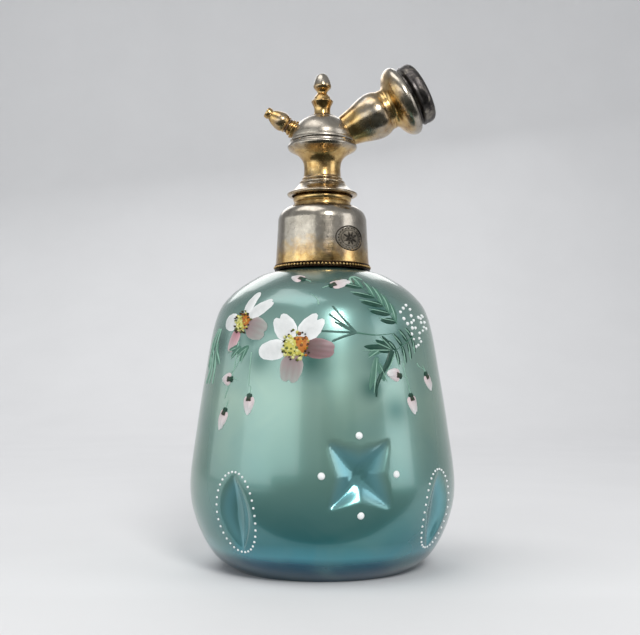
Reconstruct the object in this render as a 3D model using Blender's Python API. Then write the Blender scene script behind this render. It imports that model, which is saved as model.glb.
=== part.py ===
"""Perfume atomiser: a dimpled glass bottle, a cemented metal collar, and a screw-on spray head.

The head carries a finial that turns a shut-off needle, a screw-off nozzle tip, and a tapered arm
that ends in the grooved spigot for a rubber bulb. The bottle's axis is +Z and it stands on Z = 0.
The front faces -Y, the arm points to +X and the nozzle to -X. Lengths below are in millimetres.
"""

import math

import bmesh
import bpy
from mathutils import Vector

MM = 0.001

# Driving dimensions -------------------------------------------------------------------------
GAP = 0.3  # between pieces that touch
SEGMENTS = 24  # facets round a turned metal piece
FINE_SEGMENTS = 16  # facets round a small inner piece
GLASS_SEGMENTS = 48
CUTTER_TURN = math.radians(4.0)  # keeps a cutter's facets off those of the piece it cuts

WIDEST_R = 39.5  # glass, at its widest
WIDEST_Z = 24.5
SHOULDER_Z = 88.1  # where the glass goes under the collar
GLASS_WALL = 2.6
NECK_R = 10.3
NECK_BORE_R = 7.0
LIP_Z = 103.2

COLLAR_FOOT_R = 14.2
COLLAR_TOP_R = 13.5
COLLAR_FOOT_Z = 90.25
COLLAR_TOP_Z = 108.1
COLLAR_WALL = 0.6
BEAD_R = 14.9

BUSH_R = 8.9  # the gilt band between collar and head
BUSH_BORE_R = 7.45
BUSH_TOP_Z = 111.75
BUSH_FOOT_Z = 104.9

SKIRT_R = 10.75  # head's lower rim
SKIRT_Z = 111.3
WAIST_R = 5.6
FLANGE_R = 10.66
DOME_FOOT_Z = 128.05
DOME_SPRING_Z = 129.0  # the dome is half an ellipse above this height
DOME_R = 9.7
DOME_RISE = 7.6
DOME_WALL = 0.8
FINIAL_FOOT_Z = 136.6
FINIAL_TIP_Z = 149.6

ARM_TILT = math.radians(28.0)  # above the horizontal, towards +X
ARM_CROSSES_Z = 127.7  # where the arm's axis meets the bottle's
ARM_MOUTH = 22.6  # along the arm's axis, as are the next four
BELL_FACE = 29.6
DISC_BACK = 30.9
DISC_FACE = 35.1
DISC_R = 9.6
BELL_R = 11.0
AIR_BORE_R = 1.9

NOZZLE_TILT = math.radians(33.0)  # above the horizontal, towards -X
NOZZLE_CROSSES_Z = 126.4
NOZZLE_END = 20.4

# Dimples pinched into the glass: (degrees round from the front towards +X, height) ----------
STARS = [(15.0, 30.0), (195.0, 30.0)]
OVALS = [(-38.0, 19.0), (56.0, 19.0), (142.0, 19.0), (236.0, 19.0)]
STAR_REACH = 12.5  # from its centre to the end of a lobe
STAR_DEPTH = 2.6
OVAL_HALF_HEIGHT = 10.5
OVAL_HALF_WIDTH = 6.0
OVAL_DEPTH = 2.4

GLASS = ("frosted_glass", (0.36, 0.58, 0.56), 0.25, 0.0)
SILVER = ("silver_plate", (0.62, 0.60, 0.54), 0.30, 1.0)
GILT = ("gilt_brass", (0.72, 0.50, 0.20), 0.28, 1.0)
BRASS = ("brass", (0.62, 0.46, 0.22), 0.40, 1.0)
TARNISH = ("tarnished_plate", (0.10, 0.09, 0.09), 0.40, 1.0)
CORK = ("cork", (0.55, 0.38, 0.22), 0.90, 0.0)
LEATHER = ("leather", (0.20, 0.11, 0.06), 0.80, 0.0)
RUBBER = ("rubber", (0.05, 0.05, 0.05), 0.70, 0.0)
PLASTER = ("plaster", (0.82, 0.80, 0.74), 0.95, 0.0)
CLEAR_GLASS = ("clear_glass", (0.80, 0.88, 0.88), 0.05, 0.0)


def clear_scene():
    for obj in list(bpy.data.objects):
        bpy.data.objects.remove(obj, do_unlink=True)


def material(spec):
    """The Principled material of that name, made once."""
    name, colour, roughness, metallic = spec
    made = bpy.data.materials.get(name)
    if made is None:
        made = bpy.data.materials.new(name)
        made.use_nodes = True
        shader = made.node_tree.nodes["Principled BSDF"]
        shader.inputs["Base Color"].default_value = (*colour, 1.0)
        shader.inputs["Roughness"].default_value = roughness
        shader.inputs["Metallic"].default_value = metallic
        made.diffuse_color = (*colour, 1.0)
    return made


def axis_empty(name, height, tilt):
    """An empty whose +Z runs out along a tilted axis; a negative tilt leans towards -X."""
    empty = bpy.data.objects.new(name, None)
    bpy.context.scene.collection.objects.link(empty)
    empty.location = (0.0, 0.0, height * MM)
    lean = math.copysign(math.pi / 2 - abs(tilt), tilt)
    empty.rotation_euler = (0.0, lean, 0.0)
    return empty


def arc(centre_r, centre_z, radius, start, end, steps):
    """Points of (r, z) on an arc, angles in degrees from +r towards +z."""
    turns = [math.radians(start + (end - start) * i / steps) for i in range(steps + 1)]
    return [(centre_r + radius * math.cos(a), centre_z + radius * math.sin(a)) for a in turns]


def smooth(points, steps):
    """A Catmull-Rom curve through the points, with that many stretches between each two."""
    ends = [points[0], *points, points[-1]]
    curve = []
    for a, b, c, d in zip(ends, ends[1:], ends[2:], ends[3:]):
        for i in range(steps):
            t = i / steps
            curve.append(
                tuple(
                    0.5
                    * (
                        2 * b[k]
                        + (c[k] - a[k]) * t
                        + (2 * a[k] - 5 * b[k] + 4 * c[k] - d[k]) * t**2
                        + (3 * b[k] - a[k] - 3 * c[k] + d[k]) * t**3
                    )
                    for k in range(2)
                )
            )
    return [*curve, points[-1]]


def lathe(name, outline, spec, segments=SEGMENTS, parent=None):
    """Spins a closed outline of (r, z) points round the object's own +Z."""
    bm = bmesh.new()
    verts = [bm.verts.new((r * MM, 0.0, z * MM)) for r, z in outline]
    edges = [bm.edges.new(pair) for pair in zip(verts, verts[1:])]
    if outline[0][0] > 0.0:
        edges.append(bm.edges.new((verts[-1], verts[0])))
    bmesh.ops.spin(
        bm,
        geom=[*verts, *edges],
        cent=(0.0, 0.0, 0.0),
        axis=(0.0, 0.0, 1.0),
        angle=2 * math.pi,
        steps=segments,
        use_merge=True,
    )
    bmesh.ops.remove_doubles(bm, verts=bm.verts, dist=1e-6)
    bmesh.ops.recalc_face_normals(bm, faces=bm.faces)
    mesh = bpy.data.meshes.new(name)
    bm.to_mesh(mesh)
    bm.free()
    mesh.shade_smooth()
    mesh.set_sharp_from_angle(angle=math.radians(35.0))
    mesh.materials.append(material(spec))
    obj = bpy.data.objects.new(name, mesh)
    bpy.context.scene.collection.objects.link(obj)
    obj.parent = parent
    return obj


def ring(inner, outer, low, high):
    """The outline of a plain washer or tube."""
    return [(inner, low), (outer, low), (outer, high), (inner, high)]


def cutter(name, outline, segments=FINE_SEGMENTS, parent=None, offset=(0.0, 0.0)):
    """A helper solid for Booleans, left out of the model."""
    obj = lathe(name, outline, BRASS, segments, parent)
    obj.location = (offset[0] * MM, offset[1] * MM, 0.0)
    obj.rotation_euler = (0.0, 0.0, CUTTER_TURN)
    obj.hide_render = True
    obj.display_type = "WIRE"
    return obj


def cut(obj, *cutters):
    for tool in cutters:
        boolean = obj.modifiers.new("cut_" + tool.name, "BOOLEAN")
        boolean.operation = "DIFFERENCE"
        boolean.solver = "EXACT"
        boolean.object = tool


# Glass --------------------------------------------------------------------------------------
def glass_outside():
    """The bottle's outer outline from its standing ring up to the neck's lip."""
    body = [
        (26.5, 0.0),
        (32.6, 4.6),
        (37.6, 14.0),
        (WIDEST_R, WIDEST_Z),
        (37.8, 40.0),
        (35.3, 56.5),
        (32.2, 73.0),
        (27.8, 80.4),
        (19.6, 86.2),
        (13.2, SHOULDER_Z),
    ]
    neck = arc(NECK_R + 1.4, SHOULDER_Z + 1.5, 1.4, 270.0, 180.0, 3)
    lip = arc(NECK_R - 0.8, LIP_Z - 0.8, 0.8, 0.0, 90.0, 3)
    return smooth(body, 2) + neck[1:] + lip


def glass_inside():
    """The bottle's inner outline from the lip down to the middle of the floor."""
    body = [
        (NECK_BORE_R, 88.0),
        (12.0, 85.6),
        (18.6, 83.4),
        (25.5, 78.6),
        (29.5, 72.0),
        (32.6, 56.5),
        (35.1, 40.0),
        (WIDEST_R - GLASS_WALL, WIDEST_Z),
        (34.6, 13.6),
        (28.0, 5.6),
        (20.0, 4.4),
    ]
    return [(NECK_BORE_R, LIP_Z), *body, (0.0, 4.8)]


def dent(angle, height):
    """How far the dimples push the wall in at that angle, in degrees from the front, and height."""
    depth = 0.0
    for centre, level in STARS + OVALS:
        turn = (angle - centre + 180.0) % 360.0 - 180.0
        across = math.radians(turn) * WIDEST_R
        up = height - level
        if (centre, level) in STARS:
            far = math.hypot(across, up)
            lobes = abs(math.sin(2 * math.atan2(up, across)))
            reach = STAR_REACH * (0.45 + 0.55 * lobes)
            share = far / reach
            deep = STAR_DEPTH
        else:
            share = math.hypot(across / OVAL_HALF_WIDTH, up / OVAL_HALF_HEIGHT)
            deep = OVAL_DEPTH
        if share < 1.0:
            depth = max(depth, deep * (1.0 - share**2) ** 1.5)
    return depth


def bottle():
    floor = [(0.0, 1.5), (14.0, 1.1), (22.0, 0.3), (23.5, 0.0)]
    outline = [*floor, *glass_outside(), *glass_inside()]
    obj = lathe("bottle", outline, GLASS, GLASS_SEGMENTS)
    for vertex in obj.data.vertices:
        x, y, z = vertex.co / MM
        radius = math.hypot(x, y)
        if radius > 28.5 and 3.0 < z < 45.0:
            angle = math.degrees(math.atan2(x, -y))
            share = (radius - dent(angle, z)) / radius
            vertex.co = Vector((x * share, y * share, z)) * MM
    return obj


# Neck ---------------------------------------------------------------------------------------
def neck_parts():
    lathe("bead_ring", bead_ring_outline(), GILT)
    lathe("collar", collar_outline(), SILVER)
    inside = COLLAR_TOP_R - COLLAR_WALL - GAP
    cement = [
        (NECK_R + GAP, 90.6),
        (inside + 0.5, 90.6),
        (inside, 102.6),
        (NECK_R + GAP, 102.6),
    ]
    lathe("neck_cement", cement, PLASTER)
    lathe("lip_gasket", ring(7.3, 10.2, LIP_Z + GAP, BUSH_FOOT_Z - GAP), CORK, FINE_SEGMENTS)
    bush = [
        (BUSH_BORE_R, BUSH_FOOT_Z),
        (11.2, BUSH_FOOT_Z),
        (11.2, BUSH_FOOT_Z + 0.8),
        (BUSH_R - 0.25, BUSH_FOOT_Z + 0.8),
        (BUSH_R - 0.25, 109.0),
        *arc(BUSH_R - 1.5, 110.3, 1.5, -45.0, 45.0, 4),
        (BUSH_R - 0.5, BUSH_TOP_Z),
        (BUSH_BORE_R, BUSH_TOP_Z),
    ]
    lathe("neck_bush", bush, GILT)


def bead_ring_outline():
    """A band of three mouldings: two fillets with the beading between them."""
    low, high = SHOULDER_Z + GAP, COLLAR_FOOT_Z - GAP
    middle = (low + high) / 2
    return [
        (NECK_R + 2.9, low),
        (BEAD_R, low),
        (BEAD_R, low + 0.35),
        (BEAD_R - 0.5, low + 0.4),
        (BEAD_R - 0.15, middle),
        (BEAD_R - 0.5, high - 0.4),
        (BEAD_R - 0.1, high - 0.35),
        (BEAD_R - 0.1, high),
        (NECK_R + 2.9, high),
    ]


def collar_outline():
    bend = 5.0
    mouth = BUSH_R + 0.1
    outer = arc(COLLAR_TOP_R - bend, COLLAR_TOP_Z - bend, bend, 0.0, 83.0, 6)
    inner = arc(COLLAR_TOP_R - bend, COLLAR_TOP_Z - bend, bend - COLLAR_WALL, 80.0, 0.0, 4)
    return [
        (COLLAR_FOOT_R - COLLAR_WALL, COLLAR_FOOT_Z),
        (COLLAR_FOOT_R, COLLAR_FOOT_Z),
        *outer,
        (mouth, COLLAR_TOP_Z - 0.1),
        (mouth, COLLAR_TOP_Z - COLLAR_WALL),
        *inner,
    ]


# Head ---------------------------------------------------------------------------------------
def head_body_outline():
    """Screw plug, skirt, waist and flange, turned in one with a passage through the middle."""
    rim = arc(SKIRT_R - 0.7, SKIRT_Z + 0.7, 0.7, -90.0, 50.0, 4)
    sweep = [(9.6, 113.5), (8.1, 114.75), (7.0, 115.6)]
    beads = [(7.15, 116.0), (6.7, 116.35), (6.3, 117.0), (6.35, 117.4), (6.0, 117.7)]
    waist = [(5.8, 118.6), (WAIST_R, 120.8), (5.85, 122.5), (6.9, 123.6), (8.9, 124.8)]
    flange = [(10.3, 125.75), (FLANGE_R, 126.4), (10.45, 127.1), (10.0, 127.7), (9.85, 127.9)]
    passage = [
        (8.7, 127.9),
        (8.7, 126.6),
        (5.6, 126.6),
        (5.6, 125.2),
        (3.8, 125.2),
        (3.8, 111.2),
        (6.0, 111.2),
        (6.0, BUSH_FOOT_Z + 0.1),
    ]
    plug = [(7.2, BUSH_FOOT_Z + 0.1), (7.2, 112.7), (9.3, 112.7), (9.3, SKIRT_Z)]
    return [*plug, *rim, *sweep, *beads, *waist, *flange, *passage]


def ellipse(half_width, rise, start, end, steps):
    """Points of (r, z) on the dome's ellipse, angles in degrees from +r towards +z."""
    turns = [math.radians(start + (end - start) * i / steps) for i in range(steps + 1)]
    return [(half_width * math.cos(a), DOME_SPRING_Z + rise * math.sin(a)) for a in turns]


def dome_outline():
    """A thin cover with a thick boss on top, counterbored for the finial's packing."""
    outer = ellipse(DOME_R - 0.2, DOME_RISE, 8.0, 66.0, 6)
    inner = ellipse(DOME_R - DOME_WALL, DOME_RISE - DOME_WALL, 64.0, 4.0, 5)
    return [
        (8.9, DOME_FOOT_Z),
        (9.8, DOME_FOOT_Z),
        (9.85, DOME_FOOT_Z + 0.5),
        (9.75, DOME_FOOT_Z + 1.0),
        *outer,
        (3.6, 136.15),
        (3.0, 136.15),
        (3.0, 135.2),
        (1.75, 135.2),
        (1.75, 132.3),
        (3.6, 132.3),
        (3.6, 134.9),
        *inner,
    ]


def head_outside(grow):
    """The flange and dome as one plain solid, grown, to trim what is soldered to them."""
    dome = ellipse(DOME_R + grow, DOME_RISE + grow, 5.0, 90.0, 8)
    side = [
        (0.0, 120.0),
        (FLANGE_R + grow, 120.0),
        (FLANGE_R + grow, 126.6),
        (10.5 + grow, 127.3),
        (9.95 + grow, 128.0),
        (9.9 + grow, DOME_FOOT_Z + 1.1),
    ]
    return [*side, *dome[:-1], (0.0, DOME_SPRING_Z + DOME_RISE + grow)]


def head_parts(arm, nozzle):
    lathe("head_gasket", ring(7.6, 8.9, BUSH_TOP_Z + 0.25, 112.4), LEATHER, FINE_SEGMENTS)
    lathe("head_body", head_body_outline(), GILT)
    dome = lathe("dome", dome_outline(), SILVER)
    arm_passage = cutter("arm_passage", [(0, 6.0), (2.8, 6.0), (2.8, 14.0), (0, 14.0)], parent=arm)
    jet_passage = cutter("jet_passage", [(0, 5.0), (1.1, 5.0), (1.1, 14.0), (0, 14.0)], parent=nozzle)
    cut(dome, arm_passage, jet_passage)
    lathe("finial_packing", ring(1.9, 2.7, 135.5, 136.05), LEATHER, FINE_SEGMENTS)
    return cutter("head_outside", head_outside(GAP), SEGMENTS)


def finial_outline():
    """Baluster knob on a hollow stem, whose end holds the needle's head."""
    knob = [
        (2.75, FINIAL_FOOT_Z),
        (2.8, 137.0),
        (2.55, 137.6),
        (2.6, 138.4),
        (3.0, 139.4),
        (3.4, 140.3),
        (3.3, 140.8),
        (2.6, 141.6),
        (1.95, 142.4),
        (1.8, 142.9),
        (2.2, 143.9),
        (2.75, 144.9),
        (2.8, 145.4),
        (2.5, 146.3),
        (2.15, 147.1),
        (1.7, 148.1),
        (1.05, 149.1),
        (0.4, FINIAL_TIP_Z - 0.1),
        (0.0, FINIAL_TIP_Z),
    ]
    socket = [(0.0, 132.2), (1.15, 132.2), (1.15, 131.1), (0.75, 131.1), (0.75, 130.7)]
    return [*socket, (1.6, 130.7), (1.6, FINIAL_FOOT_Z), *knob]


def valve_parts(nozzle):
    needle = [
        (0.0, 126.1),
        (0.3, 126.15),
        (0.6, 126.7),
        (0.6, 131.25),
        (1.0, 131.25),
        (1.0, 132.05),
        (0.0, 132.05),
    ]
    lathe("valve_needle", needle, BRASS, FINE_SEGMENTS)
    lathe("finial", finial_outline(), GILT, 16)
    block = [
        (1.4, 122.5),
        (2.3, 122.5),
        (2.3, 125.5),
        (5.2, 125.5),
        (5.2, 126.1),
        (2.4, 126.1),
        (2.4, 130.4),
        (0.75, 130.4),
        (0.75, 126.3),
        (0.45, 126.0),
        (0.45, 125.0),
        (1.4, 125.0),
    ]
    block = lathe("valve_block", block, BRASS, FINE_SEGMENTS)
    air_hole = [(0, 124.8), (0.5, 124.8), (0.5, 126.6), (0, 126.6)]
    for turn in range(3):
        angle = math.radians(98.0 + 120.0 * turn)
        place = (3.15 * math.cos(angle), 3.15 * math.sin(angle))
        cut(block, cutter(f"air_hole_{turn}", air_hole, 10, offset=place))
    cut(block, cutter("jet_port", [(0, 0.4), (0.6, 0.4), (0.6, 4.5), (0, 4.5)], 12, nozzle))
    barb = [(0.7, 108.0), (1.4, 108.0), (1.65, 109.0), (1.65, 110.3), (1.25, 110.9)]
    lathe("riser_tube", [*barb, (1.25, 124.8), (0.7, 124.8)], BRASS, FINE_SEGMENTS)
    lathe("dip_sleeve", ring(1.95, 2.7, 104.6, 110.6), RUBBER, FINE_SEGMENTS)
    tube = [(0.95, 7.0), (1.55, 6.0), (1.75, 8.0), (1.75, 107.6), (0.95, 107.6)]
    lathe("dip_tube", tube, CLEAR_GLASS, FINE_SEGMENTS)


# Nozzle -------------------------------------------------------------------------------------
def nozzle_parts(nozzle, trim):
    base = [
        (1.0, 7.5),
        (2.6, 7.5),
        (2.6, 10.4),
        (2.25, 10.8),
        (2.3, 11.2),
        (2.55, 11.5),
        (2.3, 11.8),
        (2.3, 12.0),
        (1.6, 12.0),
        (1.6, 14.2),
        (1.0, 14.2),
    ]
    cut(lathe("nozzle_base", base, GILT, 20, nozzle), trim)
    lathe("nozzle_washer", ring(1.85, 2.2, 12.25, 12.6), LEATHER, FINE_SEGMENTS, nozzle)
    tip = [
        (1.75, 12.85),
        (2.4, 12.85),
        (2.55, 13.0),
        (2.4, 13.2),
        (2.7, 13.8),
        (2.88, 14.8),
        (2.8, 15.8),
        (2.3, 17.6),
        (1.85, 18.6),
        (1.5, 18.8),
        (1.5, 19.1),
        (1.7, 19.2),
        (1.65, NOZZLE_END),
        (0.65, NOZZLE_END),
        (0.65, 19.6),
        (1.0, 19.2),
        (1.0, 14.5),
        (1.75, 14.5),
    ]
    lathe("nozzle_tip", tip, GILT, 20, nozzle)
    lathe("liquid_jet", ring(0.2, 0.45, 1.4, 20.0), BRASS, 12, nozzle)


# Arm ----------------------------------------------------------------------------------------
def arm_parts(arm, trim):
    horn = smooth([(4.6, 6.0), (5.6, 11.0), (6.8, 15.6), (7.2, 18.6), (6.8, 20.6)], 2)
    bore = 4.75
    inside = [(bore, 18.6), (6.1, 17.6), (6.0, 15.4), (4.9, 11.0), (3.9, 6.0)]
    outline = [*horn, (6.35, 21.8), (6.3, ARM_MOUTH), (bore, ARM_MOUTH), *inside]
    cut(lathe("bulb_arm", outline, SILVER, SEGMENTS, arm), trim)
    washer = ring(4.7, 6.0, ARM_MOUTH + 0.25, ARM_MOUTH + 0.6)
    lathe("spigot_washer", washer, LEATHER, SEGMENTS, arm)
    bell = [
        (4.7, 23.45),
        (6.3, 23.45),
        (7.1, 23.6),
        (8.3, 24.1),
        (9.8, 25.1),
        (10.7, 26.3),
        (BELL_R, 27.5),
        (10.95, 28.6),
        (10.5, 29.3),
        (9.9, BELL_FACE),
        (4.7, BELL_FACE),
    ]
    lathe("bulb_flange", bell, GILT, SEGMENTS, arm)
    spigot = [
        (AIR_BORE_R, 21.5),
        (3.0, 21.5),
        (3.0, 19.4),
        (4.0, 19.4),
        (4.4, 22.9),
        (4.4, BELL_FACE + GAP),
        (7.6, BELL_FACE + GAP),
        (7.6, DISC_BACK),
        (DISC_R - 0.3, DISC_BACK),
        (DISC_R, DISC_BACK + 0.3),
        *arc(DISC_R - 1.9, DISC_FACE - 1.9, 1.9, 0.0, 90.0, 5),
        (AIR_BORE_R, DISC_FACE),
    ]
    lathe("bulb_spigot", spigot, TARNISH, SEGMENTS, arm)
    keeper = lathe("valve_keeper", ring(1.3, 2.8, 19.4, 19.8), BRASS, FINE_SEGMENTS, arm)
    notch = [(0, 19.0), (0.65, 19.0), (0.65, 20.2), (0, 20.2)]
    for turn in range(3):
        angle = math.radians(9.0 + 120.0 * turn)
        place = (2.6 * math.cos(angle), 2.6 * math.sin(angle))
        cut(keeper, cutter(f"keeper_notch_{turn}", notch, 10, arm, place))
    disc = [(0.0, 20.05), (2.6, 20.05), (2.6, 20.6), (0.0, 20.6)]
    lathe("valve_disc", disc, LEATHER, FINE_SEGMENTS, arm)


def main():
    clear_scene()
    arm = axis_empty("arm_axis", ARM_CROSSES_Z, ARM_TILT)
    nozzle = axis_empty("nozzle_axis", NOZZLE_CROSSES_Z, -NOZZLE_TILT)
    bottle()
    neck_parts()
    trim = head_parts(arm, nozzle)
    valve_parts(nozzle)
    nozzle_parts(nozzle, trim)
    arm_parts(arm, trim)


main()
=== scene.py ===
"""Looks of the perfume atomiser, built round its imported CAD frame.

The glass is a satin, dimpled bottle with raised enamel flowers; the metal is silver plate worn
through to gilt. Each outline is in millimetres and in the CAD's own frame: +Z up the bottle, the
front to -Y, the bulb arm to +X and the nozzle to -X.
"""

import json
import math
import random

import bmesh
import bpy
import numpy as np
from mathutils import Matrix, Vector


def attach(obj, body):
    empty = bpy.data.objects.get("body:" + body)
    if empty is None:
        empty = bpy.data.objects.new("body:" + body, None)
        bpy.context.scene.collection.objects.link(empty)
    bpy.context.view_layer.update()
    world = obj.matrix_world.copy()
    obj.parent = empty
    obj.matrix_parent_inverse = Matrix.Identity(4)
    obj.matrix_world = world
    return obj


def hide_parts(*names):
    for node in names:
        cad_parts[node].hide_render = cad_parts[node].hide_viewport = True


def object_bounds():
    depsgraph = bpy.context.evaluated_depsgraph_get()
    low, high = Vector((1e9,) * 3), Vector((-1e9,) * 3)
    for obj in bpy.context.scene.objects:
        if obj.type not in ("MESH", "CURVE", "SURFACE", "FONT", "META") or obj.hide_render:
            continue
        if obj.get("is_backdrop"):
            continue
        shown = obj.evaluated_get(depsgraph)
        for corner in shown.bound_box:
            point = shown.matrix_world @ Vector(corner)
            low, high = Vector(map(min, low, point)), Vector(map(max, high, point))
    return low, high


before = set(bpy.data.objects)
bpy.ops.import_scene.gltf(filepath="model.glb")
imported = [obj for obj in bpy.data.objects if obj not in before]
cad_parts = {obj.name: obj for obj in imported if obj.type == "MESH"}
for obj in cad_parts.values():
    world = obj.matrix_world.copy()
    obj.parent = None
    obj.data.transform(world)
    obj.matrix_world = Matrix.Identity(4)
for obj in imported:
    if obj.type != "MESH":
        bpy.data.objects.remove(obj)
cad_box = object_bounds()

MM = 0.001
TURNED = 160  # facets round a turned metal piece
SMALL_TURNED = 72
GLASS_TURNED = 360
EASED_SHARE = 0.4  # most of a side that one eased corner may take

# Sizes shared with the CAD ------------
WIDEST_R = 39.5
WIDEST_Z = 24.5
SHOULDER_Z = 88.1
GLASS_WALL = 2.6
NECK_R = 10.3
NECK_BORE_R = 7.0
LIP_Z = 103.2
COLLAR_FOOT_R = 14.2
COLLAR_TOP_R = 13.5
COLLAR_FOOT_Z = 90.0
COLLAR_TOP_Z = 108.1
DOME_SPRING_Z = 129.0
ARM_TILT = math.radians(28.0)
ARM_CROSSES_Z = 127.7
NOZZLE_TILT = math.radians(33.0)
NOZZLE_CROSSES_Z = 126.4

STARS = [(15, 30), (195, 30)]
OVALS = [(-38, 19), (56, 19), (142, 19), (236, 19)]
STAR_REACH = 12.5
STAR_DEPTH = 2.6
OVAL_HALF_HEIGHT = 10.5
OVAL_HALF_WIDTH = 6.0
OVAL_DEPTH = 2.4


# Curves ------------
def between(a, b, c, d, t):
    """The value at share t of the way from b to c, on the Catmull-Rom curve through all four."""
    square = 2 * a - 5 * b + 4 * c - d
    cube = 3 * b - a - 3 * c + d
    return 0.5 * (2 * b + (c - a) * t + square * t**2 + cube * t**3)


def smooth(points, steps):
    """A curve through the points, with that many stretches between each two."""
    ends = [points[0], *points, points[-1]]
    curve = []
    for four in zip(ends, ends[1:], ends[2:], ends[3:]):
        curve += [tuple(between(*values, i / steps) for values in zip(*four)) for i in range(steps)]
    return [*curve, points[-1]]


def arc(centre_r, centre_z, radius, start, end, steps, rise=None):
    """Points of (r, z) on an arc, angles in degrees from +r towards +z; a rise makes it an ellipse."""
    turns = [math.radians(start + (end - start) * i / steps) for i in range(steps + 1)]
    tall = radius if rise is None else rise
    return [(centre_r + radius * math.cos(a), centre_z + tall * math.sin(a)) for a in turns]


def leaning(height, tilt):
    """The placement whose +Z runs out along a tilted axis; a negative tilt leans towards -X."""
    lean = math.copysign(math.pi / 2 - abs(tilt), tilt)
    return Matrix.Translation((0.0, 0.0, height * MM)) @ Matrix.Rotation(lean, 4, "Y")


UPRIGHT = Matrix.Identity(4)
ARM = leaning(ARM_CROSSES_Z, ARM_TILT)
NOZZLE = leaning(NOZZLE_CROSSES_Z, -NOZZLE_TILT)


def softened(outline, radius, steps=3):
    """The closed outline with each corner eased by a short curve; points on the axis stay."""
    eased = []
    for i, corner in enumerate(outline):
        before, after = outline[i - 1], outline[(i + 1) % len(outline)]
        if min(corner[0], before[0], after[0]) <= 0.0:
            eased.append(corner)
            continue
        back, ahead = math.dist(corner, before), math.dist(corner, after)
        ease = min(radius, EASED_SHARE * back, EASED_SHARE * ahead)
        start = [c + (b - c) * ease / back for c, b in zip(corner, before)]
        end = [c + (a - c) * ease / ahead for c, a in zip(corner, after)]
        for t in (j / steps for j in range(steps + 1)):
            weights = (1 - t) ** 2, 2 * t * (1 - t), t**2
            eased.append(tuple(sum(w * v for w, v in zip(weights, row)) for row in zip(start, corner, end)))
    return eased


# Meshes ------------
def add_object(name, data):
    obj = bpy.data.objects.new(name, data)
    bpy.context.scene.collection.objects.link(obj)
    return obj


def finish_piece(name, mesh, material, body, place=UPRIGHT, replaces=(), slot=None, sharp=40.0):
    """Links a mesh as a piece that rides on a body and stands for CAD nodes."""
    mesh.shade_smooth()
    mesh.set_sharp_from_angle(angle=math.radians(sharp))
    mesh.materials.append(material)
    piece = add_object(name, mesh)
    piece.matrix_world = place
    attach(piece, body)
    if replaces:
        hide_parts(*replaces)
    return piece


def mesh_of(name, bm):
    """The bmesh as a new mesh; the bmesh is freed."""
    mesh = bpy.data.meshes.new(name)
    bm.to_mesh(mesh)
    bm.free()
    return mesh


def outward(mesh):
    """Turns every face of a closed mesh to point out."""
    bm = bmesh.new()
    bm.from_mesh(mesh)
    bmesh.ops.recalc_face_normals(bm, faces=bm.faces)
    bm.to_mesh(mesh)
    bm.free()
    return mesh


def turned_mesh(name, outline, segments, bend=None):
    """Spins a closed outline of (r, z) in mm; bend(angle, r, z) may give each point a new r."""
    verts, rows = [], []
    for r, z in outline:
        if r <= 0.0:
            rows.append([len(verts)] * segments)
            verts.append((0.0, 0.0, z * MM))
            continue
        rows.append(list(range(len(verts), len(verts) + segments)))
        for k in range(segments):
            angle = 2 * math.pi * k / segments
            radius = bend(math.degrees(angle), r, z) if bend else r
            verts.append((radius * math.sin(angle) * MM, -radius * math.cos(angle) * MM, z * MM))
    joined = list(zip(rows, rows[1:]))
    if outline[0][0] > 0.0:
        joined.append((rows[-1], rows[0]))
    faces = []
    for low, high in joined:
        for k in range(segments):
            nxt = (k + 1) % segments
            corners = list(dict.fromkeys([low[k], low[nxt], high[nxt], high[k]]))
            if len(corners) > 2:
                faces.append(corners)
    mesh = bpy.data.meshes.new(name)
    mesh.from_pydata(verts, [], faces)
    return outward(mesh)


def turned(name, outline, material, body, place=UPRIGHT, segments=TURNED, ease=0.12, bend=None, **more):
    """A finished turned piece, its corners eased by that many mm."""
    eased = softened(outline, ease) if ease else outline
    return finish_piece(name, turned_mesh(name, eased, segments, bend), material, body, place, **more)


def ring(inner, outer, low, high):
    """A plain ring's closed outline."""
    return [(inner, low), (outer, low), (outer, high), (inner, high)]


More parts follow.
